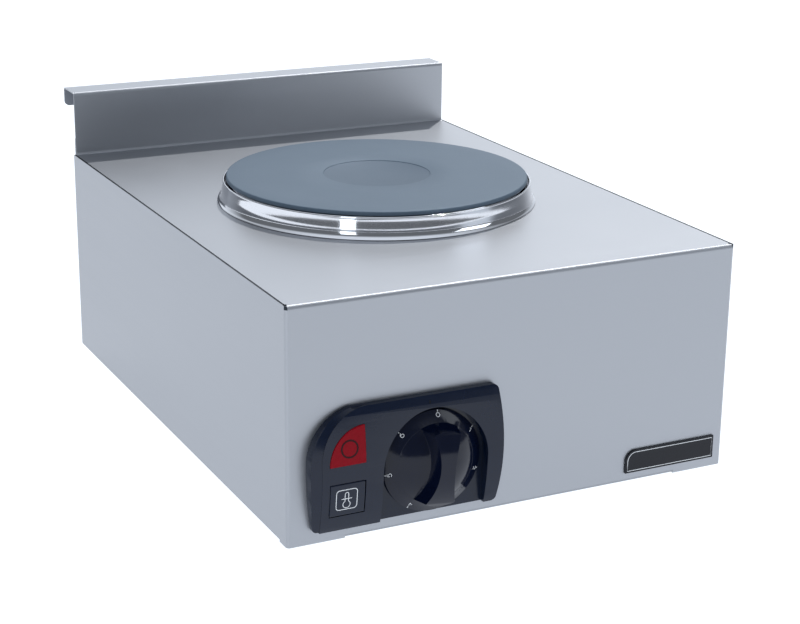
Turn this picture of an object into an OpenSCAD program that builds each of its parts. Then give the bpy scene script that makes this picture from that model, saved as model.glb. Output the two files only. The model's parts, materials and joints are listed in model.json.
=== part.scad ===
// Countertop hot plate burner: a folded stainless box with a rear upstand, one round cast-iron
// hotplate in a spill ring, and a rotary control on the front. Millimetres, +Z up, front faces -Y.
// The origin is on the worktop, under the middle of the whole object.

/* [Body] */
// Width of the folded casing
body_w = 330; // [325:1:400]
// Depth of the folded casing
body_d = 430; // [420:1:520]
// Height of the casing above its feet
body_h = 160; // [150:1:200]
// Thickness of the stainless sheet
sheet_t = 1.0; // [0.8:0.1:1.2]
// Outside radius of the folds
fold_r = 2.5; // [2.2:0.1:3]
// Height of the rubber feet
foot_h = 8; // [6:1:15]

/* [Upstand] */
// Height of the upstand above the top
upstand_h = 50; // [40:1:80]
// How far the lip's back stands behind the casing
lip_out = 24; // [15:1:30]
// Height of the down-turned edge of the lip
lip_drop = 15; // [10:1:20]

/* [Hotplate] */
// Diameter of the cast-iron plate
plate_d = 220; // [216:1:222]
// Height of the cooking face above the top
plate_rise = 18.5; // [17:0.5:22]
// Depth of the round recess in the middle of the plate
dish_depth = 0.6; // [0.3:0.1:1]

/* [Control] */
// Diameter of the knob's skirt
knob_d = 69.5; // [67:0.5:70]
// How far the knob stands out from the front
knob_out = 26; // [25:0.5:28]
// How far the escutcheon stands out in the middle
bezel_out = 10; // [9.5:0.1:11]

/* [Hidden] */

$fn = 96;
eps = 0.01;
fit = 0.15;

// Casing planes
body_y = (knob_out - lip_out) / 2;
front_y = body_y - body_d / 2;
rear_y = body_y + body_d / 2;
floor_z = foot_h;
top_z = foot_h + body_h;
rim_z = top_z + upstand_h;
in_r = fold_r - sheet_t;
seam_gap = 0.4;
top_w = body_w - 2 * (sheet_t + seam_gap);
upstand_y = rear_y - 2.8;
lip_y = rear_y + lip_out;
flange_w = 38;
back_flange_w = 14;
foot_inset = 24;
screw_inset = 8;
notch = 12;
back_t = 1.0;

// Hotplate, measured up from the top sheet
plate_x = -2;
plate_y = body_y - 3;
plate_r = plate_d / 2;
waist_r = plate_r - 2.5;
cutout_r = 105.5;
dish_r = 39;
iron_low = 4;
groove_r = [51, 72, 93];
groove_w = 13;
groove_top = 11;
coil_r = 2.6;
pan_r = 103;
pan_drop = 14;
stud_r = 4;
bridge_z = -30;
bridge_half = 122;

// Control panel, in X and Z on the front
knob_x = -65;
knob_z = floor_z + 44;
bezel_left = -152;
bezel_right = -16;
bezel_low = floor_z + 8.5;
bezel_high = floor_z + 90;
bezel_mid_z = (bezel_low + bezel_high) / 2;
face_r = 166;
arc_x = -115;
arc_z = floor_z + 54;
arc_r = 37;
strip_w = 7;
strip_step = 1.8;
recess_r = 37.5;
recess_floor = 1.2;
lens_r = 24.8;
tile_w = 23.8;
tile_h = 21.8;
tile_x = -127.6;
tile_z = floor_z + 31;
lamp_x = -126;
lamp_z = floor_z + 64;
switch_pitch = 14;

// Knob: depths before the front panel
dial_turn = 5;
skirt_r = knob_d / 2;
rim_r = 27.2;
rim_out = 8;
dome_r = 46;
dome_out = 16.8;
arch_r = 52;
arch_up = 1.5;
waist = 10;
scoop_r = 83;
draft = 0.25;

// Sections for a sheet folded in the Y-Z plane
module along_x(length) {
    rotate([90, 0, 90]) linear_extrude(length, center = true) children();
}

// Outline in X and Z, drawn out forwards from depth "near" to depth "far" before the front panel
module on_front(near, far) {
    translate([0, front_y - near, 0]) rotate([90, 0, 0]) linear_extrude(far - near) children();
}

// Round piece along Y, from depth "near" to depth "far" before the front panel
module front_rod(x, z, r, near, far, sides = 96) {
    translate([x, front_y - near, z]) rotate([90, 0, 0]) cylinder(r = r, h = far - near, $fn = sides);
}

// A quarter of a fold: the ring sector that joins two runs of sheet at right angles
module fold_sector(cy, cz, r_inner, side_y, side_z) {
    translate([cy, cz]) intersection() {
        difference() {
            circle(r = r_inner + sheet_t);
            circle(r = r_inner);
        }
        translate([side_y < 0 ? -50 : 0, side_z < 0 ? -50 : 0]) square(50);
    }
}

// Removes a square corner down to a radius; the tool runs along X, with its centre at [cy, cz]
module corner_tool(r, side_y, side_z) {
    difference() {
        translate([side_y < 0 ? -r - 1 : 0, side_z < 0 ? -r - 1 : 0]) square(r + 1);
        circle(r = r);
    }
}

// Hexagon nut or bolt head, standing up from z
module hex(x, y, z, flats, h, bore = 0) {
    translate([x, y, z]) difference() {
        cylinder(r = flats / sqrt(3), h = h, $fn = 6);
        if (bore > 0) translate([0, 0, -1]) cylinder(r = bore, h = h + 2);
    }
}

// ---------- casing ----------

module top_and_upstand() {
    cove_r = 2;
    along_x(top_w) {
        fold_sector(front_y + fold_r, top_z - fold_r, in_r, -1, 1);
        translate([front_y + fold_r, top_z - sheet_t])
            square([upstand_y - cove_r - front_y - fold_r, sheet_t]);
        fold_sector(upstand_y - cove_r, top_z + cove_r, cove_r, 1, -1);
        translate([upstand_y, top_z + cove_r]) square([sheet_t, upstand_h - cove_r - fold_r]);
        fold_sector(upstand_y + fold_r, rim_z - fold_r, in_r, -1, 1);
        translate([upstand_y + fold_r, rim_z - sheet_t])
            square([lip_y - upstand_y - 2 * fold_r, sheet_t]);
        fold_sector(lip_y - fold_r, rim_z - fold_r, in_r, 1, 1);
        translate([lip_y - sheet_t, rim_z - lip_drop]) square([sheet_t, lip_drop - fold_r]);
    }
}

// The front and both sides are one band of sheet, rounded at the front corners
module wall_band() {
    side_end = rear_y - back_t;
    difference() {
        translate([0, 0, floor_z]) linear_extrude(body_h) difference() {
            wall_plan(body_w / 2, front_y, fold_r, side_end);
            wall_plan(body_w / 2 - sheet_t, front_y + sheet_t, in_r, side_end + 1);
        }
        // the top's fold takes the place of the band's top edge between the seams
        translate([-top_w / 2, front_y - 1, top_z - fold_r]) cube([top_w, 1 + sheet_t + fold_r, fold_r + 1]);
    }
}

module wall_plan(half_w, y0, r, y1) {
    translate([-half_w, y0 + r]) square([2 * half_w, y1 - y0 - r]);
    translate([-half_w + r, y0]) square([2 * (half_w - r), r + 1]);
    for (s = [-1, 1]) translate([s * (half_w - r), y0 + r]) circle(r = r);
}

// Turned-in edges under the walls and behind the sides
module wall_flanges() {
    run = body_d - back_t - notch;
    for (s = [-1, 1]) {
        translate([s > 0 ? body_w / 2 - flange_w : -body_w / 2 + sheet_t / 2, front_y + notch, floor_z])
            cube([flange_w - sheet_t / 2, run, sheet_t]);
        translate([s > 0 ? body_w / 2 - back_flange_w : -body_w / 2 + sheet_t / 2,
                   rear_y - back_t - sheet_t, floor_z + notch])
            cube([back_flange_w - sheet_t / 2, sheet_t, body_h - 2 * notch]);
    }
    translate([-body_w / 2 + flange_w + 2, front_y + sheet_t / 2, floor_z])
        cube([body_w - 2 * flange_w - 4, back_flange_w - sheet_t / 2, sheet_t]);
}

module body_shell() {
    color("lightsteelblue") difference() {
        union() {
            top_and_upstand();
            wall_band();
            wall_flanges();
        }
        // rounded lower folds
        along_x(body_w - 2 * flange_w - 4)
            translate([front_y + fold_r, floor_z + fold_r]) corner_tool(fold_r, -1, -1);
        for (s = [-1, 1]) mirror([s < 0 ? 1 : 0, 0, 0])
            translate([body_w / 2 - fold_r, rear_y + 1, floor_z + fold_r])
                rotate([90, 0, 0]) linear_extrude(body_d + 1 - notch) corner_tool(fold_r, 1, -1);
        // relief holes at the front top corners
        for (s = [-1, 1]) translate([s * (top_w / 2), front_y + fold_r + 1, top_z - 3])
            cylinder(r = 1.3, h = 5);
        // rounded lower corners of the lip
        for (s = [-1, 1]) mirror([s < 0 ? 1 : 0, 0, 0])
            translate([top_w / 2 - 4, lip_y + 1, rim_z - lip_drop + 4])
                rotate([90, 0, 0]) linear_extrude(sheet_t + 2) corner_tool(4, 1, -1);
        translate([plate_x, plate_y, top_z - 5]) cylinder(r = cutout_r, h = 10);
        panel_holes();
        for (p = flange_points()) translate([p[0], p[1], floor_z - 5]) cylinder(r = 1.7, h = 10);
        for (p = foot_points()) translate([p[0], p[1], floor_z - 5]) cylinder(r = 2.7, h = 10);
        for (p = back_points()) rear_hole(p[0], p[1], 1.7);
    }
}

// Holes in the front panel behind the escutcheon
module panel_holes() {
    front_rod(knob_x, knob_z, 6, -5, 5);
    front_rod(lamp_x, lamp_z, 5.2, -5, 5);
    for (s = [-1, 1]) front_rod(knob_x + s * switch_pitch, knob_z, 2.2, -5, 5);
}

// Hole through the sheets at the rear
module rear_hole(x, z, r) {
    translate([x, rear_y + 5, z]) rotate([90, 0, 0]) cylinder(r = r, h = 12);
}

// Screw positions in pairs, left and right: feet and base screws in X and Y, back screws in X and Z
function pairs(half, rows) = [for (row = rows, s = [-1, 1]) [s * half, row]];
function foot_points() = pairs(body_w / 2 - foot_inset, [front_y + 35, rear_y - 35]);
function flange_points() = pairs(body_w / 2 - foot_inset, [front_y + 90, rear_y - 90]);
function back_points() = pairs(body_w / 2 - screw_inset, [floor_z + 30, top_z - 30]);

module back_panel() {
    half = body_w / 2 - 1.5;
    color("silver") difference() {
        translate([-half, rear_y - back_t, floor_z + sheet_t + 1])
            cube([2 * half, back_t, body_h + 12 - sheet_t]);
        for (p = back_points()) rear_hole(p[0], p[1], 1.7);
        rear_hole(gland_x, gland_z, gland_r + fit);
        rear_hole(bond_x, gland_z, bond_tail_r + fit);
        // ventilation slots, two rows with round ends
        for (row = [0, 1], i = [-4:4])
            translate([i * 22, rear_y + 5, top_z - 28 - row * 26]) rotate([90, 0, 0]) linear_extrude(12) {
                square([4, 12], center = true);
                for (s = [-1, 1]) translate([0, s * 6]) circle(r = 2);
            }
    }
}

module base_plate() {
    half = body_w / 2 - sheet_t - 0.6;
    y0 = front_y + sheet_t + 0.6;
    color("gray") difference() {
        translate([-half, y0, floor_z + sheet_t])
            cube([2 * half, rear_y - back_t - sheet_t - 0.6 - y0, sheet_t]);
        for (p = foot_points()) translate([p[0], p[1], floor_z - 5]) cylinder(r = 2.7, h = 12);
        for (p = flange_points()) translate([p[0], p[1], floor_z - 5]) cylinder(r = 1.7, h = 12);
        translate([earth_x, earth_y, floor_z - 5]) cylinder(r = 2.6, h = 12);
        for (s = [-1, 1]) translate([block_x + s * block_fix, block_y, floor_z - 5])
            cylinder(r = 1.7, h = 12);
        for (row = [0:4], i = [-3:3])
            translate([i * 26, plate_y - 60 + row * 30, floor_z - 5]) linear_extrude(12) {
                square([14, 4], center = true);
                for (s = [-1, 1]) translate([s * 7, 0]) circle(r = 2);
            }
    }
}

// Pan-head screw pointing along +Z: the head is below z, the shank above it
module screw_up(x, y, z, r, head_r, head_h, length) {
    translate([x, y, z - head_h]) cylinder(r = head_r, h = head_h);
    translate([x, y, z - eps]) cylinder(r = r, h = length);
}

module base_screws() {
    color("silver") for (p = flange_points()) screw_up(p[0], p[1], floor_z, 1.6, 3, 1.8, 9);
}

module back_screws() {
    color("silver") for (p = back_points())
        translate([p[0], rear_y, p[1]]) rotate([90, 0, 0]) screw_up(0, 0, 0, 1.6, 3, 1.8, 9);
}

module foot(i) {
    p = foot_points()[i - 1];
    color("black") translate([p[0], p[1], 0]) difference() {
        union() {
            cylinder(r = 11, h = 1.5);
            translate([0, 0, 1.5 - eps]) cylinder(r1 = 11, r2 = 12.5, h = 2);
            translate([0, 0, 3.5 - 2 * eps]) cylinder(r = 12.5, h = foot_h - 3.5 + 2 * eps);
        }
        translate([0, 0, -1]) cylinder(r = 2.7, h = foot_h + 2);
        translate([0, 0, -1]) cylinder(r = 6, h = 4.5);
    }
}

module foot_screws() {
    color("silver") for (p = foot_points()) screw_up(p[0], p[1], 3.5, 2.5, 4.5, 2.5, foot_h + 3.5);
}

module foot_nuts() {
    color("silver") for (p = foot_points()) hex(p[0], p[1], floor_z + 2 * sheet_t, 8, 4, 2.55);
}

// ---------- hotplate ----------

// Turns a half-section round the hotplate's axis, with z measured from the top sheet
module turned() {
    translate([plate_x, plate_y, top_z]) rotate_extrude($fn = 180) children();
}

module hotplate() {
    rim_low = plate_rise - 3.2;
    color("dimgray") turned() difference() {
        union() {
            square([plate_r - 1.2, plate_rise]);
            translate([0, rim_low]) square([plate_r, plate_rise - 1.2 - rim_low]);
            translate([plate_r - 1.2, plate_rise - 1.2]) circle(r = 1.2);
        }
        translate([waist_r, -1]) square([20, rim_low + 1]);
        translate([-1, plate_rise - dish_depth]) square([dish_r + 1, 5]);
        translate([16, -1]) square([plate_r, iron_low + 1]);
        translate([-1, -1]) square([stud_r + 1, 7]);
        for (r = groove_r) translate([r - groove_w / 2, -1]) square([groove_w, groove_top + 1]);
    }
}

module heating_coils() {
    color("darkred") turned() for (r = groove_r) translate([r, 8]) circle(r = coil_r);
}

module coil_insulation() {
    gap = 0.1;
    low = iron_low + gap;
    color("whitesmoke") turned() for (r = groove_r) difference() {
        translate([r - groove_w / 2 + gap, low]) square([groove_w - 2 * gap, groove_top - gap - low]);
        translate([r, 8]) circle(r = coil_r + 0.05);
    }
}

module hotplate_pan() {
    color("silver") difference() {
        turned() {
            translate([pan_r - 0.8, -pan_drop]) square([0.8, pan_drop + iron_low]);
            translate([17, -pan_drop]) square([pan_r - 17, 0.8]);
        }
        for (s = [-1, 0, 1]) translate([plate_x + s * 12, plate_y - 62, top_z - pan_drop - 2])
            cylinder(r = 3, h = 5);
    }
}

module hotplate_stud() {
    color("silver") translate([plate_x, plate_y, top_z - 44]) cylinder(r = stud_r - 0.05, h = 49.5);
}

// Strap under the cut-out: its ends press up on the top sheet, its middle hangs on the stud
module clamp_bridge() {
    t = 2.5;
    arm_x = 108;
    color("silver") translate([plate_x, plate_y, top_z - sheet_t]) difference() {
        rotate([90, 0, 0]) linear_extrude(26, center = true) difference() {
            union() {
                translate([-arm_x, bridge_z]) square([2 * arm_x, -bridge_z]);
                translate([-bridge_half, -t]) square([2 * bridge_half, t]);
            }
            translate([-arm_x + t, bridge_z + t]) square([2 * (arm_x - t), 50]);
        }
        translate([0, 0, bridge_z - 5]) cylinder(r = stud_r + 0.4, h = 15);
    }
}

module clamp_washer() {
    color("silver") translate([plate_x, plate_y, top_z - sheet_t + bridge_z - 1.6]) difference() {
        cylinder(r = 9, h = 1.6);
        translate([0, 0, -1]) cylinder(r = stud_r + 0.3, h = 4);
    }
}

module clamp_nut() {
    color("silver") hex(plate_x, plate_y, top_z - sheet_t + bridge_z - 1.6 - 6.5, 13, 6.5, stud_r + 0.05);
}

// Ceramic block on the pan's underside
module plate_terminal_block() {
    low = top_z - pan_drop - 18;
    color("ivory") translate([plate_x, plate_y - 62, low]) difference() {
        translate([-22, -11, 0]) cube([44, 22, 18]);
        for (s = [-1, 0, 1]) translate([s * 12 - 3.6, -12, -1]) cube([7.2, 18, 10]);
        for (s = [-1, 0, 1]) translate([s * 12, 0, -1]) cylinder(r = 2, h = 20);
    }
}

module plate_terminal_tabs() {
    low = top_z - pan_drop - 18;
    color("gold") for (s = [-1, 0, 1]) translate([plate_x + s * 12, plate_y - 62, low]) {
        translate([-3.2, -10, 8]) cube([6.4, 14, 0.8]);
        translate([0, 0, 8]) cylinder(r = 1.8, h = 18);
    }
}

// Spill ring: an outer band that flares into a flange, a floor on the gasket, and a collar round the iron
module trim_ring() {
    color("white") turned() polygon(concat(
        [[108.1, 0.7], [115, 0.7], [115.6, 0.1], [116.4, 0.1], [116.4, 0.6]],
        [for (a = [0:15:75]) [116.2 - 2.6 * sin(a), 6.2 - 5.2 * cos(a)]],
        [[112.4, 14.6], [112.1, 15.2], [111.5, 15.4], [111.1, 15.0], [111.5, 14.4], [112.8, 6], [112.7, 1.5],
         [108.7, 1.5], [108.7, plate_rise - 3.5], [108.1, plate_rise - 3.5]]));
}

module ring_gasket() {
    color("black") turned() translate([107, 0]) square([7.5, 0.65]);
}

// ---------- control panel ----------

// Cylinder along X whose surface is the escutcheon's crowned face, raised by "lift"
module crown(lift) {
    translate([0, front_y - bezel_out + face_r, bezel_mid_z])
        rotate([0, 90, 0]) cylinder(r = face_r + lift, h = 2 * body_w, center = true, $fn = 360);
}

// Escutcheon outline: a large quarter round at top left, a bowed right side, small lower corners
module bezel_outline(inset = 0) {
    corner = 4;
    bow = 2.3;
    bow_r = 290;
    half_h = (bezel_high - bezel_low) / 2 - inset;
    intersection() {
        union() {
            translate([arc_x, bezel_low + inset]) square([bezel_right - arc_x, 2 * half_h]);
            translate([bezel_left + inset, bezel_low + inset])
                square([arc_x - bezel_left, arc_z - bezel_low]);
            translate([arc_x, arc_z]) circle(r = arc_r - inset);
        }
        translate([bezel_right - inset - bow_r, bezel_mid_z]) circle(r = bow_r, $fn = 360);
        translate([bezel_left + inset + bow_r, bezel_mid_z]) circle(r = bow_r, $fn = 360);
        union() {
            translate([bezel_left - 1, bezel_low + corner + inset]) square([200, 2 * half_h - 2 * corner]);
            translate([bezel_left + bow + corner, bezel_low + inset])
                square([bezel_right - bezel_left - 2 * (bow + corner), 2 * half_h]);
            for (x = [bezel_left + bow + corner, bezel_right - bow - corner], z = [-1, 1])
                translate([x, bezel_mid_z + z * (half_h - corner)]) circle(r = corner);
        }
    }
}

module lens_outline(grow) {
    intersection() {
        translate([arc_x, arc_z]) circle(r = lens_r + grow);
        translate([arc_x - 40 + grow, arc_z - grow]) square([40, 40]);
    }
}

module tile_outline(grow) {
    translate([tile_x, tile_z]) square([tile_w + 2 * grow, tile_h + 2 * grow], center = true);
}

// The knob's well: round at the top, straight sides down to an open lower edge
module well_outline() {
    translate([knob_x, knob_z]) circle(r = recess_r);
    translate([knob_x - recess_r, knob_z - 80]) square([2 * recess_r, 80]);
}

// The crowned face inside the lower strip, which is widest on the left and dies out at the top
module face_outline() {
    face_arc_r = arc_r - 3;
    face_x = bezel_left + strip_w + face_arc_r;
    face_z = bezel_high - face_arc_r;
    intersection() {
        bezel_outline();
        union() {
            translate([face_x, face_z]) circle(r = face_arc_r);
            translate([face_x - face_arc_r, bezel_low]) square([200, face_z - bezel_low]);
            translate([face_x, bezel_low]) square([200, 100]);
        }
    }
}

module bezel() {
    color([0.05, 0.05, 0.06]) difference() {
        union() {
            intersection() {
                on_front(0, 20) bezel_outline();
                crown(-strip_step);
            }
            intersection() {
                on_front(0, 20) face_outline();
                crown(0);
            }
        }
        on_front(recess_floor, 30) well_outline();
        on_front(-1, 30) lens_outline(fit);
        on_front(6.5, 30) translate([0.45, -0.45]) tile_outline(0.55);
        // hollow back behind the lamp and the tile, kept inside the rounded corner's wall
        on_front(-1, 4.5) intersection() {
            translate([-144, floor_z + 15]) square([37, 64]);
            bezel_outline(3);
        }
        front_rod(knob_x, knob_z, 6, -1, 5);
        for (s = [-1, 1]) front_rod(knob_x + s * switch_pitch, knob_z, 2.2, -1, 5);
    }
}

module lamp_lens() {
    color("red") intersection() {
        on_front(5, 20) lens_outline(0);
        crown(0.6);
    }
}

module lamp_body() {
    color("white") {
        front_rod(lamp_x, lamp_z, 8, 0, 2.5);
        front_rod(lamp_x, lamp_z, 5, -26, eps);
        front_rod(lamp_x, lamp_z, 3.5, 2.5 - eps, 4.7);
    }
}

module lamp_nut() {
    color("white") translate([lamp_x, front_y + sheet_t, lamp_z]) rotate([-90, 0, 0])
        hex(0, 0, 0, 14, 4, 5.1);
}

module lamp_tabs() {
    color("gold") for (s = [-1, 1]) translate([lamp_x + s * 2.6 - 0.4, front_y + 26, lamp_z - 2])
        cube([0.8, 8, 4]);
}

module symbol_tile() {
    color([0.06, 0.06, 0.07]) intersection() {
        on_front(6.6, 20) tile_outline(0);
        crown(0.8);
    }
}

module nameplate() {
    x0 = 85;
    z0 = floor_z + 6.8;
    w = 72;
    h = 16.5;
    r = 8;
    color("black") on_front(0, 1.5) {
        translate([x0, z0]) square([w, h - r]);
        translate([x0 + r, z0]) square([w - r, h]);
        translate([x0 + r, z0 + h - r]) circle(r = r);
    }
}

// ---------- knob and switch ----------

// Turns a half-section round the knob's axis; its second coordinate is depth before the front
module knob_turned() {
    translate([knob_x, front_y, knob_z]) rotate([90, 0, 0]) rotate_extrude($fn = 120) children();
}

module knob() {
    color([0.03, 0.03, 0.04]) difference() {
        rotate_about_knob(dial_turn) translate([-knob_x, 0, -knob_z]) {
            knob_turned() {
                polygon([[0, 3.6], [rim_r, 3.6], [rim_r, 2.4], [skirt_r, 2.4], [skirt_r, 3.2], [31.2, 5.2],
                         [rim_r, rim_out], [0, rim_out]]);
                intersection() {
                    translate([0, dome_out - dome_r]) circle(r = dome_r);
                    translate([0, 5]) square([rim_r - 0.1, 20]);
                }
            }
            grip_bar();
        }
        // shaft socket
        front_rod(knob_x, knob_z, 3.05, -5, 17);
        front_rod(knob_x, knob_z, 5.2, 3, 8);
        knob_turned() translate([6.5, 3]) square([17, 2.6]);
    }
}

// Arched grip, waisted between two finger scoops, with both ends inside the dial's rim
module grip_bar() {
    difference() {
        intersection() {
            translate([knob_x, front_y - knob_out + arch_r, knob_z + arch_up]) rotate([0, 90, 0])
                cylinder(r = arch_r, h = 2 * skirt_r, center = true, $fn = 360);
            knob_turned() polygon([[0, 5], [27.8, 5], [25.3, 20.5], [25.3, 40], [0, 40]]);
        }
        for (s = [-1, 1]) translate([knob_x + s * (waist / 2 + scoop_r), front_y, knob_z + 1])
            rotate([90, 0, 0])
                cylinder(r1 = scoop_r - draft * knob_out, r2 = scoop_r, h = knob_out + 1, $fn = 360);
    }
}

module knob_clip() {
    color("silver") knob_turned() translate([3.25, 4.2]) square([1.6, 3.2]);
}

// Shaft with its cams: one disc for each contact pair, cut away where the contact may close
module cam_shaft() {
    cam_r = 9;
    color("ivory") {
        front_rod(knob_x, knob_z, 3, -31, 16);
        for (i = [0:3]) difference() {
            front_rod(knob_x, knob_z, cam_r, -13 - i * 5, -10 - i * 5);
            rotate_about_knob(i * 90 + 20) translate([-4, front_y + 5, 6.8]) cube([8, 40, 10]);
        }
    }
}

module rotate_about_knob(angle) {
    translate([knob_x, 0, knob_z]) rotate([0, angle, 0]) children();
}

module detent_star() {
    color("silver") difference() {
        front_rod(knob_x, knob_z, 10, -7.5, -4.5);
        for (i = [0:6]) rotate_about_knob(i * 360 / 7)
            translate([0, front_y + 1, 11]) rotate([-90, 0, 0]) cylinder(r = 3, h = 10);
        front_rod(knob_x, knob_z, 3.05, -10, 0);
    }
}

sw_w = 44;
sw_h = 42;
sw_front = sheet_t;
sw_split = 9;
sw_back = 33;

module switch_cover() {
    color("tan") difference() {
        translate([knob_x - sw_w / 2, front_y + sw_front, knob_z - sw_h / 2])
            cube([sw_w, sw_split - sw_front, sw_h]);
        front_rod(knob_x, knob_z, 3.06, -20, 5);
        front_rod(knob_x, knob_z, 15.5, -20, -3.5);
        for (s = [-1, 1]) front_rod(knob_x + s * switch_pitch, knob_z, 1.9, -4.6, 0);
    }
}

module switch_housing() {
    color("saddlebrown") difference() {
        translate([knob_x - sw_w / 2, front_y + sw_split, knob_z - sw_h / 2])
            cube([sw_w, sw_back - sw_split, sw_h]);
        front_rod(knob_x, knob_z, 16, -30, 0);
        front_rod(knob_x, knob_z, 3.06, -31.4, 0);
    }
}

module switch_screws() {
    color("silver") for (s = [-1, 1]) {
        front_rod(knob_x + s * switch_pitch, knob_z, 1.85, -3.3, recess_floor + eps);
        front_rod(knob_x + s * switch_pitch, knob_z, 3.4, recess_floor, recess_floor + 1.0);
    }
}

function tab_points() = [for (z = [-14, -5, 5, 14], x = [-1, 1]) [knob_x + x * 15, knob_z + z]];

module switch_tabs() {
    color("gold") for (p = tab_points()) translate([p[0] - 3.15, front_y + sw_back, p[1] - 0.4])
        cube([6.3, 9, 0.8]);
}

// Spring leaves beside the cams, one each side of every cam
module contact_leaves() {
    color("gold") for (i = [0:3], s = [-1, 1])
        translate([knob_x + s * 11 - 0.25, front_y + 10 + i * 5, knob_z - 8]) cube([0.5, 3, 16]);
}

module detent_spring() {
    color("silver") translate([knob_x, front_y + 4.5, knob_z + 11.2]) {
        translate([-6, 0, 0]) cube([12, 3, 0.6]);
        for (s = [-1, 1]) translate([s * 6 - 0.6, 0, 0]) cube([1.2, 3, 2.2]);
    }
}

// ---------- supply ----------

block_x = 100;
block_y = rear_y - 60;
block_fix = 20.8;
gland_x = 100;
gland_z = floor_z + 36;
gland_r = 8;
bond_x = 140;
bond_r = 3;
bond_tail_r = 4;
collar_h = 5;
earth_x = 55;
earth_y = rear_y - 60;
deck_z = floor_z + 2 * sheet_t;

module mains_block() {
    color("white") difference() {
        translate([block_x - 24, block_y - 11, deck_z]) cube([48, 22, 18]);
        for (i = [-1, 0, 1]) translate([block_x + i * 12, block_y, deck_z + 9]) {
            translate([0, 12, 0]) rotate([90, 0, 0]) cylinder(r = 3, h = 24);
            for (s = [-1, 1]) translate([0, s * 6, 0]) cylinder(r = 1.8, h = 12);
        }
        for (s = [-1, 1]) translate([block_x + s * block_fix, block_y, deck_z - 1])
            cylinder(r = 1.7, h = 25);
    }
}

module mains_block_screws() {
    color("silver") for (i = [-1, 0, 1], s = [-1, 1])
        translate([block_x + i * 12, block_y + s * 6, deck_z + 12.6]) cylinder(r = 1.7, h = 4);
    // the two that hold the block down
    color("silver") for (s = [-1, 1]) {
        translate([block_x + s * block_fix, block_y, deck_z - 3]) cylinder(r = 1.6, h = 21);
        translate([block_x + s * block_fix, block_y, deck_z + 18 - eps]) cylinder(r = 3, h = 1.8);
    }
}

module earth_stud() {
    color("silver") {
        translate([earth_x, earth_y, floor_z + sheet_t - 3]) cylinder(r = 4.5, h = 3);
        translate([earth_x, earth_y, floor_z + sheet_t - eps]) cylinder(r = 2.5, h = 18);
    }
}

module earth_nuts() {
    color("gold") for (z = [deck_z, deck_z + 6.5]) hex(earth_x, earth_y, z, 8, 4, 2.55);
}

// Bonding terminal: a hexagonal collar outside the panel, a bare pin behind it and a tail through the panel
module bonding_stud() {
    color("silver") translate([bond_x, rear_y, gland_z]) rotate([-90, 0, 0]) {
        hex(0, 0, 0, 13, collar_h);
        translate([0, 0, collar_h - eps]) cylinder(r = bond_r, h = 11 + eps);
        translate([0, 0, -back_t - 9]) cylinder(r = bond_tail_r, h = back_t + 9 + eps);
    }
}

module bonding_nut() {
    color("gold") translate([bond_x, rear_y - back_t - 5, gland_z]) rotate([-90, 0, 0])
        hex(0, 0, 0, 13, 5, bond_tail_r + 0.05);
}

module gland_turned() {
    translate([gland_x, rear_y, gland_z]) rotate([-90, 0, 0]) rotate_extrude() children();
}

module cable_gland() {
    color("black") gland_turned() {
        translate([5.5, -12]) square([gland_r - 5.5, 12 + eps]);
        translate([5.5, 0]) square([5.5, 4]);
        translate([7.6, 4 - eps]) square([2.2, 6]);
    }
}

module gland_cap() {
    color("black") gland_turned() {
        translate([10, 4.4]) square([2, 11]);
        translate([6, 12]) square([4 + eps, 3.4]);
    }
}

module gland_seal() {
    color("dimgray") gland_turned() translate([4.5, 4.4]) square([3, 7.4]);
}

module gland_locknut() {
    color("black") translate([gland_x, rear_y - back_t - 5, gland_z]) rotate([-90, 0, 0])
        hex(0, 0, 0, 22, 5, gland_r + 0.05);
}

// ---------- wiring ----------

// Routes of the internal wires: outside diameter, then the points they pass through
wire_d = 3;
lead_y = front_y + sw_back + 9.4;
block_lead_y = block_y - 6;
tab_low = top_z - pan_drop - 11.5;
ROUTES = [
    [[-80, lead_y, 66], [-80, -160, 67], [-70, -130, 90], [-40, -110, 120], [-16, -90, 133], [-14, -75, 137]],
    [[-50, lead_y, 66], [-50, -158, 67], [-42, -130, 88], [-22, -105, 115], [-3, -90, 131], [-2, -75, 137]],
    [[-50, lead_y, 57], [-48, -156, 58], [-30, -130, 80], [-5, -105, 108], [8, -90, 129], [10, -75, 137]],
    [[-80, lead_y, 47], [-80, -150, 44], [-60, -110, 22], [0, -40, 16], [70, 60, 16], [86, 120, 18],
     [88, block_lead_y, 19]],
    [[-50, lead_y, 47], [-48, -150, 44], [-30, -112, 22], [20, -40, 16], [84, 60, 16], [98, 120, 18],
     [100, block_lead_y, 19]],
    [[112, block_lead_y, 19], [112, 130, 19], [100, 116, 26], [76, 118, 30], [58, 134, 27],
     [55, earth_y - 3.2, 22.5]],
    [[-123, front_y + 36, 72], [-122, -160, 70], [-110, -150, 60], [-95, -152, 42], [-84, -158, 38],
     [-80, lead_y, 38]]];

function unit(v) = v / norm(v);
function ring_dir(p, i) = unit(p[min(i + 1, len(p) - 1)] - p[max(i - 1, 0)]);
function ring_side(d) = unit(cross(d, [0, 0, 1]));

// A tube swept along the points p, eight-sided, closed at both ends
module swept_wire(p, r) {
    n = 8;
    m = len(p);
    rings = [for (i = [0:m - 1]) let (d = ring_dir(p, i), u = ring_side(d), v = cross(d, u))
        each [for (k = [0:n - 1]) p[i] + r * (cos(k * 360 / n) * u + sin(k * 360 / n) * v)]];
    walls = [for (i = [0:m - 2], k = [0:n - 1]) let (a = i * n + k, b = i * n + (k + 1) % n)
        each [[a, b, b + n], [a, b + n, a + n]]];
    ends = [[for (k = [0:n - 1]) n - 1 - k], [for (k = [0:n - 1]) (m - 1) * n + k]];
    polyhedron(points = rings, faces = concat(walls, ends), convexity = 6);
}

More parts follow.
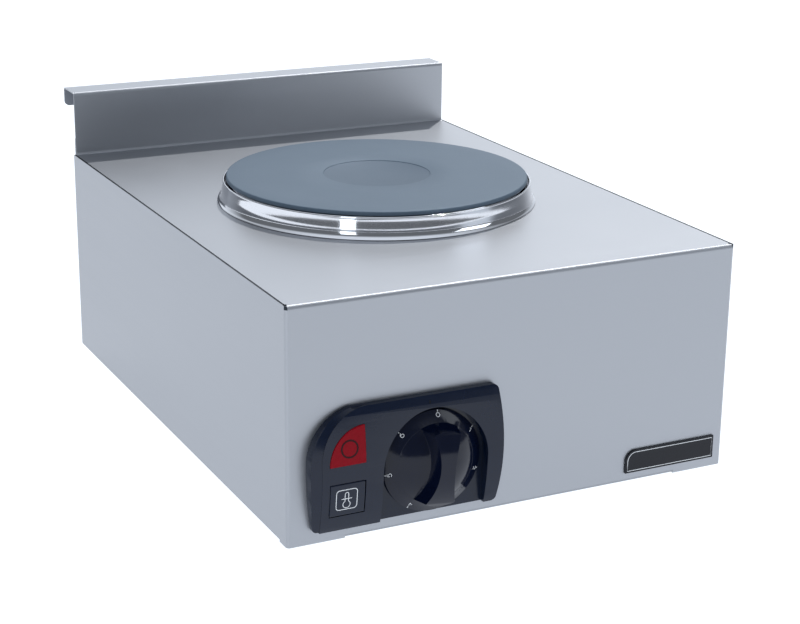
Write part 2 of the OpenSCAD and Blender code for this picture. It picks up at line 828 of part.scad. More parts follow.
// Extra points between the route's own, on a Catmull-Rom curve
function blend(a, b, c, d, t) = 0.5 * (2 * b + (c - a) * t + (2 * a - 5 * b + 4 * c - d) * t * t
    + (3 * b - a - 3 * c + d) * t * t * t);
function smooth(p, steps) = concat([for (i = [0:len(p) - 2], s = [0:steps - 1])
    blend(p[max(i - 1, 0)], p[i], p[i + 1], p[min(i + 2, len(p) - 1)], s / steps)], [p[len(p) - 1]]);

module wire(i) {
    tint = ["saddlebrown", "black", "dimgray", "saddlebrown", "royalblue", "yellowgreen", "white"];
    color(tint[i - 1]) swept_wire(smooth(ROUTES[i - 1], 4), wire_d / 2);
}

body_shell();
back_panel();
base_plate();
base_screws();
back_screws();
foot_screws();
foot_nuts();
for (i = [1:4]) foot(i);
hotplate();
heating_coils();
coil_insulation();
hotplate_pan();
hotplate_stud();
clamp_bridge();
clamp_washer();
clamp_nut();
plate_terminal_block();
plate_terminal_tabs();
trim_ring();
ring_gasket();
bezel();
lamp_lens();
lamp_body();
lamp_nut();
lamp_tabs();
symbol_tile();
nameplate();
knob();
knob_clip();
cam_shaft();
detent_star();
switch_housing();
switch_cover();
switch_screws();
switch_tabs();
contact_leaves();
detent_spring();
mains_block();
mains_block_screws();
earth_stud();
earth_nuts();
bonding_stud();
bonding_nut();
cable_gland();
gland_cap();
gland_seal();
gland_locknut();
for (i = [1:7]) wire(i);
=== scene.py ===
"""Hot plate burner: finishes, fine detail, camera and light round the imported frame. Metres."""
import json
import math

import bmesh
import bpy
from mathutils import Matrix, Vector


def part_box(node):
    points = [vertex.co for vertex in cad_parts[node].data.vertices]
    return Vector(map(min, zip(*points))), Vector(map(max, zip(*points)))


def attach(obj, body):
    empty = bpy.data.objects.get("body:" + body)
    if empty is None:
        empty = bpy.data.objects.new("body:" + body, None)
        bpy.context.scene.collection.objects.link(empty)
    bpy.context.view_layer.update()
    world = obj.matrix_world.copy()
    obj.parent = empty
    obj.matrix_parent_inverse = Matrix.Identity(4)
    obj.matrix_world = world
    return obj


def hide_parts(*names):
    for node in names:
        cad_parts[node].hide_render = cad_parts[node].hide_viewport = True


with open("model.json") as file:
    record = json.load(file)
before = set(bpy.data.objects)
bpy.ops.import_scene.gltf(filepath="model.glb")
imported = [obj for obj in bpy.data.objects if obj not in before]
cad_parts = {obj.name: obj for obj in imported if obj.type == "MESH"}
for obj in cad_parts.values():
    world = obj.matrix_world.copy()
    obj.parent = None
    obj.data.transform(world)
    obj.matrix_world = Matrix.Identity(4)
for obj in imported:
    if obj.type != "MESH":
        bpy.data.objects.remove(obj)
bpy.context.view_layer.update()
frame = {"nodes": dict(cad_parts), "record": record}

MM = 0.001
nodes = frame["nodes"]
scene = bpy.context.scene

# ---------- places taken from the frame, in millimetres ----------


def box_mm(name):
    low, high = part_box(name)
    return low / MM, high / MM


shell_low, shell_high = box_mm("body_shell")
plate_low, plate_high = box_mm("hotplate")
ring_low, ring_high = box_mm("trim_ring")
bezel_low, bezel_high = box_mm("bezel")
knob_low, knob_high = box_mm("knob")
lens_low, lens_high = box_mm("lamp_lens")
tile_low, tile_high = box_mm("symbol_tile")
badge_low, badge_high = box_mm("nameplate")

FRONT_Y = bezel_high.y
BODY_W = shell_high.x - shell_low.x
TOP_Z = ring_low.z - 0.1
JOINT_X = BODY_W / 2 - 1.4  # edge of the top sheet, beside the open joint
PLATE_X = (plate_low.x + plate_high.x) / 2
PLATE_Y = (plate_low.y + plate_high.y) / 2
PLATE_R = (plate_high.x - plate_low.x) / 2
DISH_R = 39  # recess in the middle of the plate
KNOB_X = (knob_low.x + knob_high.x) / 2
KNOB_Z = (knob_low.z + knob_high.z) / 2
BEZEL_MID_Z = (bezel_low.z + bezel_high.z) / 2
BEZEL_OUT = FRONT_Y - bezel_low.y
FACE_R = 166  # crown of the escutcheon's face
STRIP_DROP = 1.8  # the escutcheon's outline lies this far under that face
LATHE_STEPS = 240
ON_AXIS = 1e-6
WELD_MM = 1e-5
MERGE_MM = 0.002
FLAT_DEG = 0.6  # facets that meet at less than this are joined


# ---------- mesh helpers ----------


def new_object(name, bm, body, material, smooth_deg=35):
    mesh = bpy.data.meshes.new(name)
    bmesh.ops.recalc_face_normals(bm, faces=bm.faces)
    bm.to_mesh(mesh)
    bm.free()
    mesh.transform(Matrix.Scale(MM, 4))
    obj = bpy.data.objects.new(name, mesh)
    scene.collection.objects.link(obj)
    finish(obj, body, material, smooth_deg)
    return obj


def finish(obj, body, material, smooth_deg=35):
    obj.data.materials.clear()
    obj.data.materials.append(material)
    for p in obj.data.polygons:
        p.use_smooth = True
    obj.data.set_sharp_from_angle(angle=math.radians(smooth_deg))
    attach(obj, body)


def bevel(obj, width_mm, angle):
    m = obj.modifiers.new("edge", "BEVEL")
    m.width = width_mm * MM
    m.segments = 3
    m.limit_method = "ANGLE"
    m.angle_limit = math.radians(angle)
    m.harden_normals = True


def lathe(profile):
    """A closed half-section [(radius, height over the top)] turned round the plate's upright axis."""
    bm = bmesh.new()
    rings = []
    for k in range(LATHE_STEPS):
        a = 2 * math.pi * k / LATHE_STEPS
        rings.append([bm.verts.new((PLATE_X + r * math.cos(a), PLATE_Y + r * math.sin(a), TOP_Z + h))
                      for r, h in profile])
    n = len(profile)
    for k in range(LATHE_STEPS):
        a, b = rings[k], rings[(k + 1) % LATHE_STEPS]
        for i in range(n):
            j = (i + 1) % n
            if profile[i][0] > ON_AXIS or profile[j][0] > ON_AXIS:
                bm.faces.new((a[i], b[i], b[j], a[j]))
    bmesh.ops.remove_doubles(bm, verts=bm.verts, dist=WELD_MM)
    return bm


def arc(cx, cy, r, start, end, steps):
    """Points on a round corner, in degrees."""
    out = []
    for i in range(steps + 1):
        a = math.radians(start + (end - start) * i / steps)
        out.append((cx + r * math.cos(a), cy + r * math.sin(a)))
    return out


def crown_depth(z, lift):
    """Depth before the front panel of the escutcheon's crowned face, raised by lift, at height z."""
    r = FACE_R + lift
    return BEZEL_OUT + lift - r + math.sqrt(r * r - (z - BEZEL_MID_Z) ** 2)


def join_rows(bm, rows, closed=False):
    """Skins rows of four vertices into a tube: round in a ring, or capped at both ends."""
    for a, b in zip(rows, rows[1:] + rows[:1] if closed else rows[1:]):
        for k in range(4):
            bm.faces.new((a[k], b[k], b[(k + 1) % 4], a[(k + 1) % 4]))
    if not closed:
        bm.faces.new(rows[0])
        bm.faces.new(list(reversed(rows[-1])))


def stroke(bm, points, width, lay, closed=False, lift=0.12):
    """A flat raised line of one width along 2D points; lay(u, v, lift) puts it on its surface."""
    pts = [Vector(p) for p in points]
    n = len(pts)
    rows = []
    for i, p in enumerate(pts):
        before = pts[(i - 1) % n] if closed or i > 0 else p
        after = pts[(i + 1) % n] if closed or i < n - 1 else p
        d = (after - before).normalized()
        side = Vector((-d.y, d.x)) * width / 2
        corners = ((p + side, 0.0), (p + side, lift), (p - side, lift), (p - side, 0.0))
        rows.append([bm.verts.new(lay(at.x, at.y, up)) for at, up in corners])
    join_rows(bm, rows, closed)


def rounded_rect(cx, cy, w, h, r):
    out = []
    for sx, sy, start in ((1, 1, 0), (-1, 1, 90), (-1, -1, 180), (1, -1, 270)):
        out += arc(cx + sx * (w / 2 - r), cy + sy * (h / 2 - r), r, start, start + 90, 6)
    return out


def softened_copy(name, node, body, material, width_mm, angle=30):
    """A copy of a CAD node with its flat facets joined and its hard edges rounded, as a moulding's are."""
    bm = bmesh.new()
    bm.from_mesh(nodes[node].data)
    bmesh.ops.remove_doubles(bm, verts=bm.verts, dist=MERGE_MM * MM)
    bmesh.ops.dissolve_limit(bm, angle_limit=math.radians(FLAT_DEG), verts=bm.verts, edges=bm.edges)
    mesh = bpy.data.meshes.new(name)
    bm.to_mesh(mesh)
    bm.free()
    obj = bpy.data.objects.new(name, mesh)
    scene.collection.objects.link(obj)
    finish(obj, body, material)
    bevel(obj, width_mm, angle)
    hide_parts(node)


# ---------- material helpers ----------

MIX_SOCKETS = {"FLOAT": (2, 0), "RGBA": (6, 2)}  # the Mix node's first input and its output, by kind


class Shader:
    """A Principled material with short names for the nodes that the finishes share."""

    def __init__(self, name, color, metallic, roughness):
        self.material = bpy.data.materials.new(name)
        self.material.use_nodes = True
        self.tree = self.material.node_tree
        self.bsdf = self.tree.nodes["Principled BSDF"]
        self.bsdf.inputs["Base Color"].default_value = (*color, 1)
        self.bsdf.inputs["Metallic"].default_value = metallic
        self.bsdf.inputs["Roughness"].default_value = roughness
        self.coord = self.tree.nodes.new("ShaderNodeTexCoord").outputs["Object"]

    def node(self, kind, **settings):
        n = self.tree.nodes.new(kind)
        for key, value in settings.items():
            setattr(n, key, value)
        return n

    def link(self, a, b):
        self.tree.links.new(a, b)

    def feed(self, socket, value):
        """Gives a socket a number, a colour or what another node puts out."""
        if isinstance(value, bpy.types.NodeSocket):
            self.link(value, socket)
        else:
            socket.default_value = (*value, 1) if isinstance(value, tuple) else value

    def axes(self, vector):
        n = self.node("ShaderNodeSeparateXYZ")
        self.link(vector, n.inputs[0])
        return n.outputs

    def stretched(self, scale):
        m = self.node("ShaderNodeMapping")
        m.inputs["Scale"].default_value = scale
        self.link(self.coord, m.inputs["Vector"])
        return m.outputs["Vector"]

    def noise(self, vector, scale, detail=3, rough=0.6):
        n = self.node("ShaderNodeTexNoise")
        n.inputs["Scale"].default_value = scale
        n.inputs["Detail"].default_value = detail
        n.inputs["Roughness"].default_value = rough
        self.link(vector, n.inputs["Vector"])
        return n.outputs["Fac"]

    def math(self, op, a, b=None):
        n = self.node("ShaderNodeMath", operation=op)
        self.feed(n.inputs[0], a)
        if b is not None:
            self.feed(n.inputs[1], b)
        return n.outputs[0]

    def vector(self, op, a, b=(0, 0, 0)):
        n = self.node("ShaderNodeVectorMath", operation=op)
        self.link(a, n.inputs[0])
        n.inputs[1].default_value = b
        return n.outputs["Value" if op == "LENGTH" else "Vector"]

    def blend(self, a, share, b):
        """A share of a, and the rest of b."""
        return self.math("ADD", self.math("MULTIPLY", a, share), self.math("MULTIPLY", b, 1 - share))

    def span(self, value, low, high, from_low=0.0, from_high=1.0):
        n = self.node("ShaderNodeMapRange")
        n.inputs["From Min"].default_value = from_low
        n.inputs["From Max"].default_value = from_high
        n.inputs["To Min"].default_value = low
        n.inputs["To Max"].default_value = high
        self.link(value, n.inputs["Value"])
        return n.outputs["Result"]

    def between(self, value, low_mm, high_mm):
        """1 where a length lies between two limits, 0 elsewhere."""
        over = self.math("GREATER_THAN", value, low_mm * MM)
        return self.math("MULTIPLY", over, self.math("LESS_THAN", value, high_mm * MM))

    def mix(self, kind, fac, a, b):
        """Goes from a to b with fac: two numbers with "FLOAT", two colours with "RGBA"."""
        n = self.node("ShaderNodeMix", data_type=kind)
        first, result = MIX_SOCKETS[kind]
        self.link(fac, n.inputs[0])
        self.feed(n.inputs[first], a)
        self.feed(n.inputs[first + 1], b)
        return n.outputs[result]

    def color(self, fac, a, b):
        self.link(self.mix("RGBA", fac, a, b), self.bsdf.inputs["Base Color"])

    def shine(self, level):
        self.bsdf.inputs["Specular IOR Level"].default_value = level

    def rough(self, value):
        self.link(value, self.bsdf.inputs["Roughness"])

    def bump(self, height, strength, distance_mm):
        n = self.node("ShaderNodeBump")
        n.inputs["Strength"].default_value = strength
        n.inputs["Distance"].default_value = distance_mm * MM
        self.link(height, n.inputs["Height"])
        self.link(n.outputs["Normal"], self.bsdf.inputs["Normal"])


def joint_painted_shade_mask(s):
    """Where shade is painted: 1 in the open joint beside the top sheet and on the cut edge next to it, 0
    elsewhere.
    """
    cut_edge, gap, down, over = 0.25, 1.35, 2.5, 0.1
    place = s.axes(s.coord)
    beside = s.between(s.math("ABSOLUTE", place["X"]), JOINT_X - cut_edge, JOINT_X + gap)
    return s.math("MULTIPLY", beside, s.between(place["Z"], TOP_Z - down, TOP_Z + over))


def brushed_steel():
    """Sheet with a fine straight grain: along X on top and front, along Y on the sides.

    The open joint beside the top and its cut edge are coloured near black as painted shade, and the bends
    are more matt than the flats.
    """
    # the last colour is painted shade for the open joint and the cut edges beside it
    dark, light, painted_shade_colour = (0.36, 0.375, 0.405), (0.41, 0.425, 0.455), (0.03, 0.036, 0.045)
    along, across, rough, bend_matt = 1.2, 260, 0.42, 1.3
    faces_sideways = 0.7
    s = Shader("brushed_stainless", light, 1.0, rough)
    along_x = s.noise(s.stretched((along, across, across)), 6, 4)
    along_y = s.noise(s.stretched((across, along, across)), 6, 4)
    normal = s.axes(s.node("ShaderNodeNewGeometry").outputs["True Normal"])
    side = s.math("GREATER_THAN", s.math("ABSOLUTE", normal["X"]), faces_sideways)
    grain = s.mix("FLOAT", side, along_x, along_y)
    clouds = s.noise(s.coord, 7, 4, 0.7)
    sheet = s.mix("RGBA", s.blend(grain, 0.55, clouds), dark, light)
    # painted shade: near black in the open joint and on the cut edges beside it
    s.color(joint_painted_shade_mask(s), sheet, painted_shade_colour)
    up = s.math("ABSOLUTE", normal["Z"])
    bend = s.math("MULTIPLY", s.math("MULTIPLY", up, s.math("SUBTRACT", 1, up)), bend_matt)
    flat = s.math("ADD", s.span(grain, rough - 0.05, rough + 0.07), s.span(clouds, -0.03, 0.03))
    s.rough(s.math("ADD", flat, bend))
    s.bump(grain, 0.22, 0.02)
    return s.material


def plain_steel(name, color, rough):
    s = Shader(name, color, 1.0, rough)
    spots = s.noise(s.coord, 240, 4)
    s.color(spots, tuple(c * 0.86 for c in color), color)
    s.rough(s.span(spots, rough - 0.08, rough + 0.1))
    s.bump(spots, 0.12, 0.03)
    return s.material


def polished_ring():
    s = Shader("polished_ring", (0.66, 0.67, 0.7), 1.0, 0.09)
    spots = s.noise(s.coord, 60, 4, 0.7)
    s.rough(s.span(spots, 0.05, 0.12))
    scuffs = s.noise(s.stretched((30, 30, 900)), 3, 3)
    s.bump(scuffs, 0.05, 0.02)
    return s.material


def turned_iron():
    """Cast iron with a machined face: fine rings round the plate's axis, a matt grain and faint stains."""
    ring_scale, grain_scale, stain_scale = 1600, 900, 16
    dark, light = (0.07, 0.105, 0.15), (0.12, 0.17, 0.225)
    s = Shader("turned_cast_iron", (0.12, 0.15, 0.19), 0.2, 0.5)
    s.shine(0.3)
    from_axis = s.vector("SUBTRACT", s.coord, (PLATE_X * MM, PLATE_Y * MM, 0))
    radius = s.vector("LENGTH", s.vector("MULTIPLY", from_axis, (1, 1, 0)))
    rings = s.node("ShaderNodeTexNoise", noise_dimensions="1D")
    rings.inputs["Scale"].default_value = ring_scale
    rings.inputs["Detail"].default_value = 2
    s.link(radius, rings.inputs["W"])
    both = s.blend(rings.outputs["Fac"], 0.5, s.noise(s.coord, grain_scale, 3))
    tone = s.blend(both, 0.4, s.noise(s.coord, stain_scale, 5, 0.65))
    # the recess in the middle is never polished by pans, and is a little darker
    worn = s.span(radius, 0.0, 0.35, (DISH_R - 0.6) * MM, (DISH_R + 0.2) * MM)
    s.color(s.math("ADD", s.math("MULTIPLY", tone, 0.65), worn), dark, light)
    s.rough(s.span(both, 0.42, 0.6))
    s.bump(both, 0.25, 0.04)
    return s.material


def moulded(name, color, rough, grain_scale=900, strength=0.12, shine=0.5):
    """Moulded plastic with a faint spark-eroded grain and uneven gloss."""
    s = Shader(name, color, 0.0, rough)
    fine = s.noise(s.coord, grain_scale, 2)
    wide = s.noise(s.coord, 35, 4, 0.7)
    s.color(wide, color, tuple(min(1, c * 1.35 + 0.002) for c in color))
    s.rough(s.math("ADD", s.span(fine, rough - 0.04, rough + 0.05), s.span(wide, -0.05, 0.05)))
    s.bump(fine, strength, 0.02)
    s.shine(shine)
    return s.material


def red_lens_material():
    s = Shader("red_lens", (0.22, 0.0005, 0.004), 0.0, 0.16)
    s.shine(0.1)
    facets = s.noise(s.coord, 420, 2)
    s.color(facets, (0.19, 0.0005, 0.004), (0.26, 0.001, 0.01))
    s.rough(s.span(facets, 0.12, 0.24))
    s.bump(facets, 0.08, 0.03)
    return s.material


def print_ink(name, color, rough=0.45):
    s = Shader(name, color, 0.0, rough)
    s.shine(0.15)
    specks = s.noise(s.coord, 1500, 2)
    s.color(specks, tuple(c * 0.85 for c in color), color)
    s.rough(s.span(specks, rough - 0.06, rough + 0.1))
    return s.material


def rubber():
    color = (0.02, 0.02, 0.021)
    s = Shader("foot_rubber", color, 0.0, 0.75)
    grain = s.noise(s.coord, 500, 4)
    s.color(grain, color, tuple(c * 1.8 for c in color))
    s.rough(s.span(grain, 0.65, 0.9))
    s.bump(grain, 0.3, 0.05)
    return s.material


def fired_ceramic():
    s = Shader("fired_ceramic", (0.8, 0.77, 0.68), 0.0, 0.6)
    grain = s.noise(s.coord, 350, 5)
    s.color(grain, (0.72, 0.68, 0.58), (0.86, 0.83, 0.76))
    s.bump(grain, 0.25, 0.06)
    return s.material


STEEL = brushed_steel()
PLAIN = plain_steel("plain_steel", (0.55, 0.56, 0.57), 0.38)
BRASS = plain_steel("yellow_brass", (0.72, 0.52, 0.22), 0.3)
WIRE_OXIDE = plain_steel("oxidised_wire", (0.2, 0.14, 0.11), 0.6)
CHROME = polished_ring()
IRON = turned_iron()
BLACK = moulded("black_moulding", (0.001, 0.005, 0.018), 0.2, 700, 0.1, 0.36)
KNOB_BLACK = moulded("knob_moulding", (0.001, 0.003, 0.013), 0.13, 500, 0.02, 0.32)
BADGE_BLACK = moulded("badge_black", (0.002, 0.003, 0.007), 0.22, 600, 0.05, 0.3)
PHENOLIC = moulded("phenolic", (0.12, 0.06, 0.03), 0.45)
NYLON = moulded("white_nylon", (0.75, 0.75, 0.72), 0.45)
RUBBER = rubber()
CERAMIC = fired_ceramic()
RED = red_lens_material()
WHITE_INK = print_ink("white_ink", (0.82, 0.84, 0.86))
DARK_MARK = print_ink("dark_mark", (0.002, 0.002, 0.003), 0.6)
DARK_INK = print_ink("dark_ink", (0.03, 0.002, 0.004), 0.35)
WIRE_COLORS = {1: (0.16, 0.07, 0.03), 2: (0.02, 0.02, 0.02), 3: (0.12, 0.12, 0.12), 4: (0.16, 0.07, 0.03),
               5: (0.03, 0.1, 0.35), 6: (0.35, 0.5, 0.05), 7: (0.7, 0.7, 0.66)}

BY_SLOT = {"brushed_casing": STEEL, "plain_steel": PLAIN, "cast_iron": IRON, "bright_ring": CHROME,
           "black_plastic": BLACK, "knob_plastic": KNOB_BLACK, "red_lens": RED, "name_plate": BADGE_BLACK,
           "foot_rubber": RUBBER, "ceramic": CERAMIC, "phenolic": PHENOLIC, "nylon": NYLON, "brass": BRASS,
           "element_wire": WIRE_OXIDE}


def dress_cad_nodes():
    """Gives every CAD node the finish of its slot."""
    for row in frame["record"]["subparts"]:
        obj = nodes[row["node"]]
        if row["node"].startswith("wire_"):
            number = int(row["node"].removeprefix("wire_"))
            material = moulded(f"wire_cover_{number}", WIRE_COLORS[number], 0.5, 400, 0.1)
        else:
            material = BY_SLOT[row["material_slot"]]
        for s in obj.material_slots:
            s.material = material


# ---------- hotplate and ring ----------


def iron_plate():
    """The plate's visible casting, with small round edges at the rim and round its middle recess."""
    top = plate_high.z - TOP_Z
    skirt_z, dish_z = top - 3.2, top - 0.6
    rim_r, body_r, boss_r = 1.3, PLATE_R - 2.5, 16
    dish = [(0, dish_z), (DISH_R - 0.5, dish_z), (DISH_R - 0.15, dish_z + 0.12), (DISH_R + 0.15, top - 0.12)]
    face = [(r, top) for r in (DISH_R + 0.5, 60, 80, 95)]
    rim = arc(PLATE_R - rim_r, top - rim_r, rim_r, 90, 0, 6)
    skirt = [(PLATE_R, skirt_z + 0.5), (PLATE_R - 0.5, skirt_z), (body_r, skirt_z)]
    body = [(body_r, 4.2), (body_r - 0.5, 4), (boss_r, 4), (boss_r, 0), (0, 0)]
    obj = new_object("iron_plate", lathe(dish + face + rim + skirt + body), "casing", IRON, 30)
    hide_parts("hotplate")


def spill_ring():
    """Pressed ring: a rolled lip, a mirror band and a flared foot that turns down on the top."""
    lip_z = ring_high.z - TOP_Z
    flare_r, flare_z, flare_wide, flare_tall = 116.2, 6.2, 2.6, 5.2
    foot = [(108.1, 0.7), (115.0, 0.7), (115.6, 0.15), (116.3, 0.15), (116.4, 0.5)]
    turns = [math.radians(a) for a in range(6, 91, 7)]
    flare = [(flare_r - flare_wide * math.sin(a), flare_z - flare_tall * math.cos(a)) for a in turns]
    band = [(113.1, 9.0), (112.6, 12.2), (112.4, 14.2)]
    lip = arc(111.8, lip_z - 0.6, 0.6, 10, 170, 8)
    inside = [(111.4, 14.2), (112.0, 10.0), (112.9, 6.0), (112.8, 1.6), (108.8, 1.6)]
    collar = [(108.8, 14.6), (108.6, 14.8), (108.1, 14.8)]
    bm = lathe(foot + flare + band + lip + inside + collar)
    obj = new_object("spill_ring", bm, "casing", CHROME, 50)
    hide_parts("trim_ring")


# ---------- control panel ----------


def on_crown(lift=0.0):
    """Lays flat X, Z points on the crowned face raised by lift."""
    def lay(x, z, up):
        return (x, FRONT_Y - crown_depth(z, lift) - up, z)
    return lay


def bezel_edge(z):
    """Left edge of the escutcheon at height z: a slow bow, with round corners."""
    bow_r, foot_r, foot_in, head_r, head_down = 290, 4, 6.3, 37, 36
    x = bezel_low.x + bow_r - math.sqrt(bow_r ** 2 - (z - BEZEL_MID_Z) ** 2)
    foot_z, head_z = bezel_low.z + foot_r, bezel_high.z - head_down
    if z < foot_z:
        x = max(x, bezel_low.x + foot_in - math.sqrt(max(0, foot_r ** 2 - (z - foot_z) ** 2)))
    if z > head_z:
        x = max(x, bezel_low.x + head_r - math.sqrt(max(0, head_r ** 2 - (z - head_z) ** 2)))
    return x


def reach_edge(x, z, dx, dz):
    """Walks from a point in a direction to the escutcheon's outline."""
    step = 0.05
    while z + dz * step < bezel_high.z and x + dx * step > bezel_edge(z + dz * step):
        x, z = x + dx * step, z + dz * step
    return x, z


def strip_line():
    """The strip's inner edge, up the side and round the corner: x, z and the way to the outline."""
    corner_r, left, low_z, steps = 34, bezel_low.x + 7, bezel_low.z + 1.2, 12
    mid_x, mid_z = left + corner_r, bezel_high.z - corner_r
    rise = mid_z - 1.5 - low_z
    line = [(left, low_z + rise * k / steps, 180) for k in range(steps + 1)]
    line += [(x, z, math.degrees(math.atan2(z - mid_z, x - mid_x)))
             for x, z in arc(mid_x, mid_z, corner_r, 180, 93, 40)]
    return line


def sloping_strip():
    """Slope beside the crowned face: wide on the left, dying out along the top."""
    inset, narrowest, sunk, step_down, proud = 0.35, 0.05, 0.2, 0.3, 0.03
    bm = bmesh.new()
    rows = []
    for x, z, angle in strip_line():
        dx, dz = math.cos(math.radians(angle)), math.sin(math.radians(angle))
        edge_x, edge_z = reach_edge(x, z, dx, dz)
        out = max(narrowest, math.hypot(edge_x - x, edge_z - z) - inset)
        out_x, out_z = x + dx * out, z + dz * out
        low, out_low = crown_depth(z, -STRIP_DROP), crown_depth(out_z, -STRIP_DROP)
        section = ((x, low - sunk, z), (x, low + STRIP_DROP - step_down, z),
                   (out_x, out_low + proud, out_z), (out_x, out_low - sunk, out_z))
        rows.append([bm.verts.new((u, FRONT_Y - depth, v)) for u, depth, v in section])
    join_rows(bm, rows)
    new_object("sloping_strip", bm, "casing", BLACK, 40)


def escutcheon():
    softened_copy("escutcheon", "bezel", "casing", BLACK, 0.5)
    sloping_strip()
    # index mark over the dial
    bm = bmesh.new()
    x, z, half, width = KNOB_X - 3.6, KNOB_Z + 41.6, 1.0, 0.9
    stroke(bm, [(x, z - half), (x, z + half)], width, on_crown(), lift=0.1)
    new_object("index_mark", bm, "casing", DARK_MARK)


def lamp_window():
    """Red lens with the dark ring symbol on it."""
    softened_copy("lamp_window", "lamp_lens", "casing", RED, 0.6)
    bm = bmesh.new()
    cx, cz = lens_high.x - 11.3, lens_low.z + 10.8
    radius, width, points = 5.5, 1.15, 48
    circle = arc(cx, cz, radius, 0, 360 - 360 / points, points - 1)
    stroke(bm, circle, width, on_crown(0.6), closed=True, lift=0.08)
    new_object("lamp_symbol", bm, "casing", DARK_INK)


def symbol_square():
    """Raised tile with a plain thermometer sign in a rounded frame."""
    softened_copy("tile", "symbol_tile", "casing", BLACK, 0.45)
    bm = bmesh.new()
    lay = on_crown(0.8)
    cx = (tile_low.x + tile_high.x) / 2 - 0.7
    cz = (tile_low.z + tile_high.z) / 2 + 0.1
    frame_line, line = 0.5, 0.48
    stroke(bm, rounded_rect(cx, cz, 14.4, 13.8, 2.2), frame_line, lay, closed=True)
    half, top, bulb, bulb_z = 1.2, 5.0, 2.5, cz - 3.4
    neck = math.degrees(math.asin(half / bulb))
    outline = arc(cx, cz + top - half, half, 0, 180, 10)
    outline += arc(cx, bulb_z, bulb, 90 + neck, 450 - neck, 24)
    stroke(bm, outline, line, lay, closed=True)
    bar, bar_z = 3.6, cz + 0.6
    stroke(bm, [(cx - bar, bar_z), (cx + bar, bar_z)], line, lay, lift=0.14)
    new_object("tile_symbol", bm, "casing", WHITE_INK)


def name_badge():
    """Blank badge: a rounded black plate with a thin border line and nothing written on it."""
    softened_copy("badge", "nameplate", "casing", BADGE_BLACK, 0.35)

    def lay(x, z, up):
        return (x, badge_low.y - up, z)

    bm = bmesh.new()
    low, high, edge, corner, line = badge_low, badge_high, 1.6, 6.4, 0.45
    border = [(high.x - edge, low.z + edge), (high.x - edge, high.z - edge)]
    border += arc(low.x + edge + corner, high.z - edge - corner, corner, 90, 180, 10)
    border += [(low.x + edge, low.z + edge)]
    stroke(bm, border, line, lay, closed=True, lift=0.06)
    new_object("badge_border", bm, "casing", WHITE_INK)


# ---------- knob ----------

DIAL_TURN = 5
NUMBER_R = 31.6
GLYPH = 1.25
GLYPH_TALL = 0.75  # height of a numeral against its width
DIGIT_LINE, TICK_LINE = 0.34, 0.4
RING_OUT, RING_MID, RING_IN = (34.75, 3.2), (31.2, 5.2), (27.2, 8.0)


def ring_depth(r):
    """Depth of the knob's numbered cone before the front, at radius r."""
    a, b = (RING_OUT, RING_MID) if r > RING_MID[0] else (RING_MID, RING_IN)
    t = (a[0] - r) / (a[0] - b[0])
    return a[1] + t * (b[1] - a[1])


def on_dial(angle_deg):
    """Lays flat points on the numbered cone: v runs outwards from the numbers' circle, u clockwise."""
    def lay(u, v, up):
        r = NUMBER_R + v * GLYPH * GLYPH_TALL
        a = math.radians(angle_deg + DIAL_TURN) + u * GLYPH / NUMBER_R
        return (KNOB_X + r * math.sin(a), FRONT_Y - ring_depth(r) - up, KNOB_Z + r * math.cos(a))
    return lay


DIGITS = {
    0: [("loop", 0, 0.1, 1.05, 1.25)],
    1: [("line", [(-0.7, 0.7), (0.25, 1.35), (0.25, -1.35)])],
    2: [("line", arc(0, 0.55, 0.85, 160, -30, 10) + [(-0.9, -1.35), (0.95, -1.35)])],
    3: [("line", arc(0, 0.7, 0.7, 150, -80, 9)), ("line", arc(0, -0.65, 0.75, 80, -150, 9))],
    4: [("line", [(0.45, -1.35), (0.45, 1.35), (-0.9, -0.5), (1.0, -0.5)])],
    5: [("line", [(0.85, 1.35), (-0.6, 1.35), (-0.75, 0.15)] + arc(0, -0.45, 0.9, 130, -150, 12))],
    6: [("loop", 0, -0.5, 0.9, 0.9), ("line", [(-0.88, -0.35), (-0.55, 0.6), (0.35, 1.35)])],
}


def dial_numbers():
    """Numbers 0 to 6 round the skirt, each with a tick outside it."""
    bm = bmesh.new()
    turns = [2 * math.pi * k / 24 for k in range(24)]
    for number, strokes in DIGITS.items():
        lay = on_dial(number * 360 / len(DIGITS))
        for kind, *rest in strokes:
            if kind == "line":
                stroke(bm, rest[0], DIGIT_LINE, lay, lift=0.1)
            else:
                cx, cy, rx, ry = rest
                loop = [(cx + rx * math.cos(a), cy + ry * math.sin(a)) for a in turns]
                stroke(bm, loop, DIGIT_LINE, lay, closed=True, lift=0.1)
        stroke(bm, [(0, 2.0), (0, 3.2)], TICK_LINE, lay, lift=0.1)
    new_object("dial_numbers", bm, "control", WHITE_INK)


def grip_knob():
    softened_copy("grip_knob", "knob", "control", KNOB_BLACK, 0.6, angle=28)
    dial_numbers()


# ---------- camera, floor and light ----------


def camera():
    """The view from the front left, a little above: the columns are the camera's right, up and back."""
    right = Vector((0.89621, -0.44350, 0.01091))
    up = Vector((0.12931, 0.28466, 0.94987))
    back = Vector((-0.42437, -0.84987, 0.31246))
    data = bpy.data.cameras.new("camera")
    data.lens = 84.49
    data.sensor_width = 36
    data.clip_start = 0.01
    obj = bpy.data.objects.new("camera", data)
    scene.collection.objects.link(obj)
    place = Matrix((right, up, back)).transposed().to_4x4()
    place.translation = Vector((-0.58283, -1.20577, 0.51896))
    obj.matrix_world = place
    scene.camera = obj


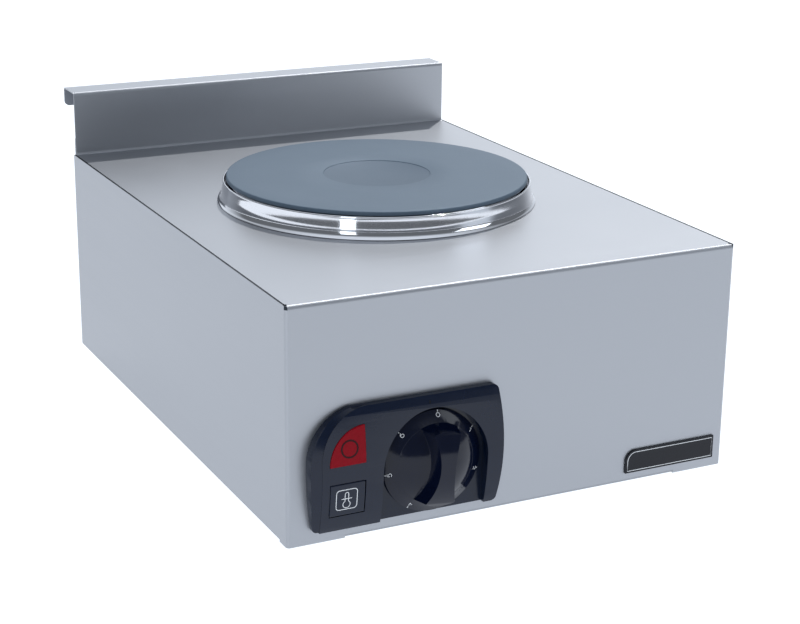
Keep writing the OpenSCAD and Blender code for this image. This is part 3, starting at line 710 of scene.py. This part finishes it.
def floor():
    bm = bmesh.new()
    half = 6000
    corners = [bm.verts.new((x * half, y * half, 0)) for x, y in ((-1, -1), (1, -1), (1, 1), (-1, 1))]
    bm.faces.new(corners)
    mesh = bpy.data.meshes.new("floor")
    bm.to_mesh(mesh)
    bm.free()
    mesh.transform(Matrix.Scale(MM, 4))
    obj = bpy.data.objects.new("floor", mesh)
    scene.collection.objects.link(obj)
    s = Shader("pale_floor", (0.12, 0.12, 0.12), 0.0, 0.9)
    s.bsdf.inputs["Emission Color"].default_value = (0.9, 0.95, 1.02, 1)
    s.bsdf.inputs["Emission Strength"].default_value = 1.14
    mesh.materials.append(s.material)


def area_light(name, direction, distance, size, power, color, target, size_y=None):
    data = bpy.data.lights.new(name, "AREA")
    data.energy = power
    data.size = size
    if size_y:
        data.shape = "RECTANGLE"
        data.size_y = size_y
    data.color = color
    obj = bpy.data.objects.new(name, data)
    scene.collection.objects.link(obj)
    aim = Vector(direction).normalized()
    obj.location = Vector(target) + aim * distance
    obj.rotation_euler = aim.to_track_quat("Z", "Y").to_euler()


def ramp(tree, value, start, full, low, high):
    """Goes from low to high while value goes from start to full."""
    n = tree.nodes.new("ShaderNodeMapRange")
    limits = {"From Min": start, "From Max": full, "To Min": low, "To Max": high}
    for socket, limit in limits.items():
        n.inputs[socket].default_value = limit
    tree.links.new(value, n.inputs["Value"])
    return n.outputs["Result"]


def studio_world():
    """Soft surroundings, brighter behind the object on the right than before it on the left."""
    front, back, overhead = 0.2, 1.25, 0.9
    world = bpy.data.worlds.new("studio")
    scene.world = world
    world.use_nodes = True
    tree = world.node_tree
    dome = tree.nodes["Background"]
    dome.inputs["Color"].default_value = (0.86, 0.92, 1.0, 1)
    ray = tree.nodes.new("ShaderNodeTexCoord").outputs["Generated"]
    lean = tree.nodes.new("ShaderNodeVectorMath")
    lean.operation = "DOT_PRODUCT"
    lean.inputs[1].default_value = (0.26, 0.966, 0.0)
    tree.links.new(ray, lean.inputs[0])
    axes = tree.nodes.new("ShaderNodeSeparateXYZ")
    tree.links.new(ray, axes.inputs[0])
    both = tree.nodes.new("ShaderNodeMath")
    both.operation = "ADD"
    tree.links.new(ramp(tree, lean.outputs["Value"], 0.55, 0.97, front, back), both.inputs[0])
    tree.links.new(ramp(tree, axes.outputs["Z"], 0.55, 0.95, 0.0, overhead), both.inputs[1])
    tree.links.new(both.outputs[0], dome.inputs["Strength"])


def lights():
    key = bpy.data.lights.new("key", "SUN")
    key.energy = 1.5
    key.angle = math.radians(1.5)
    key.color = (1.0, 0.99, 0.97)
    lamp = bpy.data.objects.new("key", key)
    scene.collection.objects.link(lamp)
    lamp.rotation_euler = Vector((0.43, 0.46, 0.775)).to_track_quat("Z", "Y").to_euler()
    area_light("fill_right", direction=(1, -0.8, 0.5), distance=2.4, size=1.2, power=11,
               color=(0.88, 0.94, 1.0), target=(0.1, -0.2, 0.1))
    area_light("strip_left", direction=(-0.71, -0.70, 0.1), distance=2.2, size=0.4, size_y=1.4, power=5.5,
               color=(0.86, 0.93, 1.0), target=(0, 0, 0.1))
    studio_world()
    scene.view_settings.view_transform = "Standard"


camera()
floor()
lights()
dress_cad_nodes()
iron_plate()
spill_ring()
escutcheon()
lamp_window()
symbol_square()
name_badge()
grip_knob()
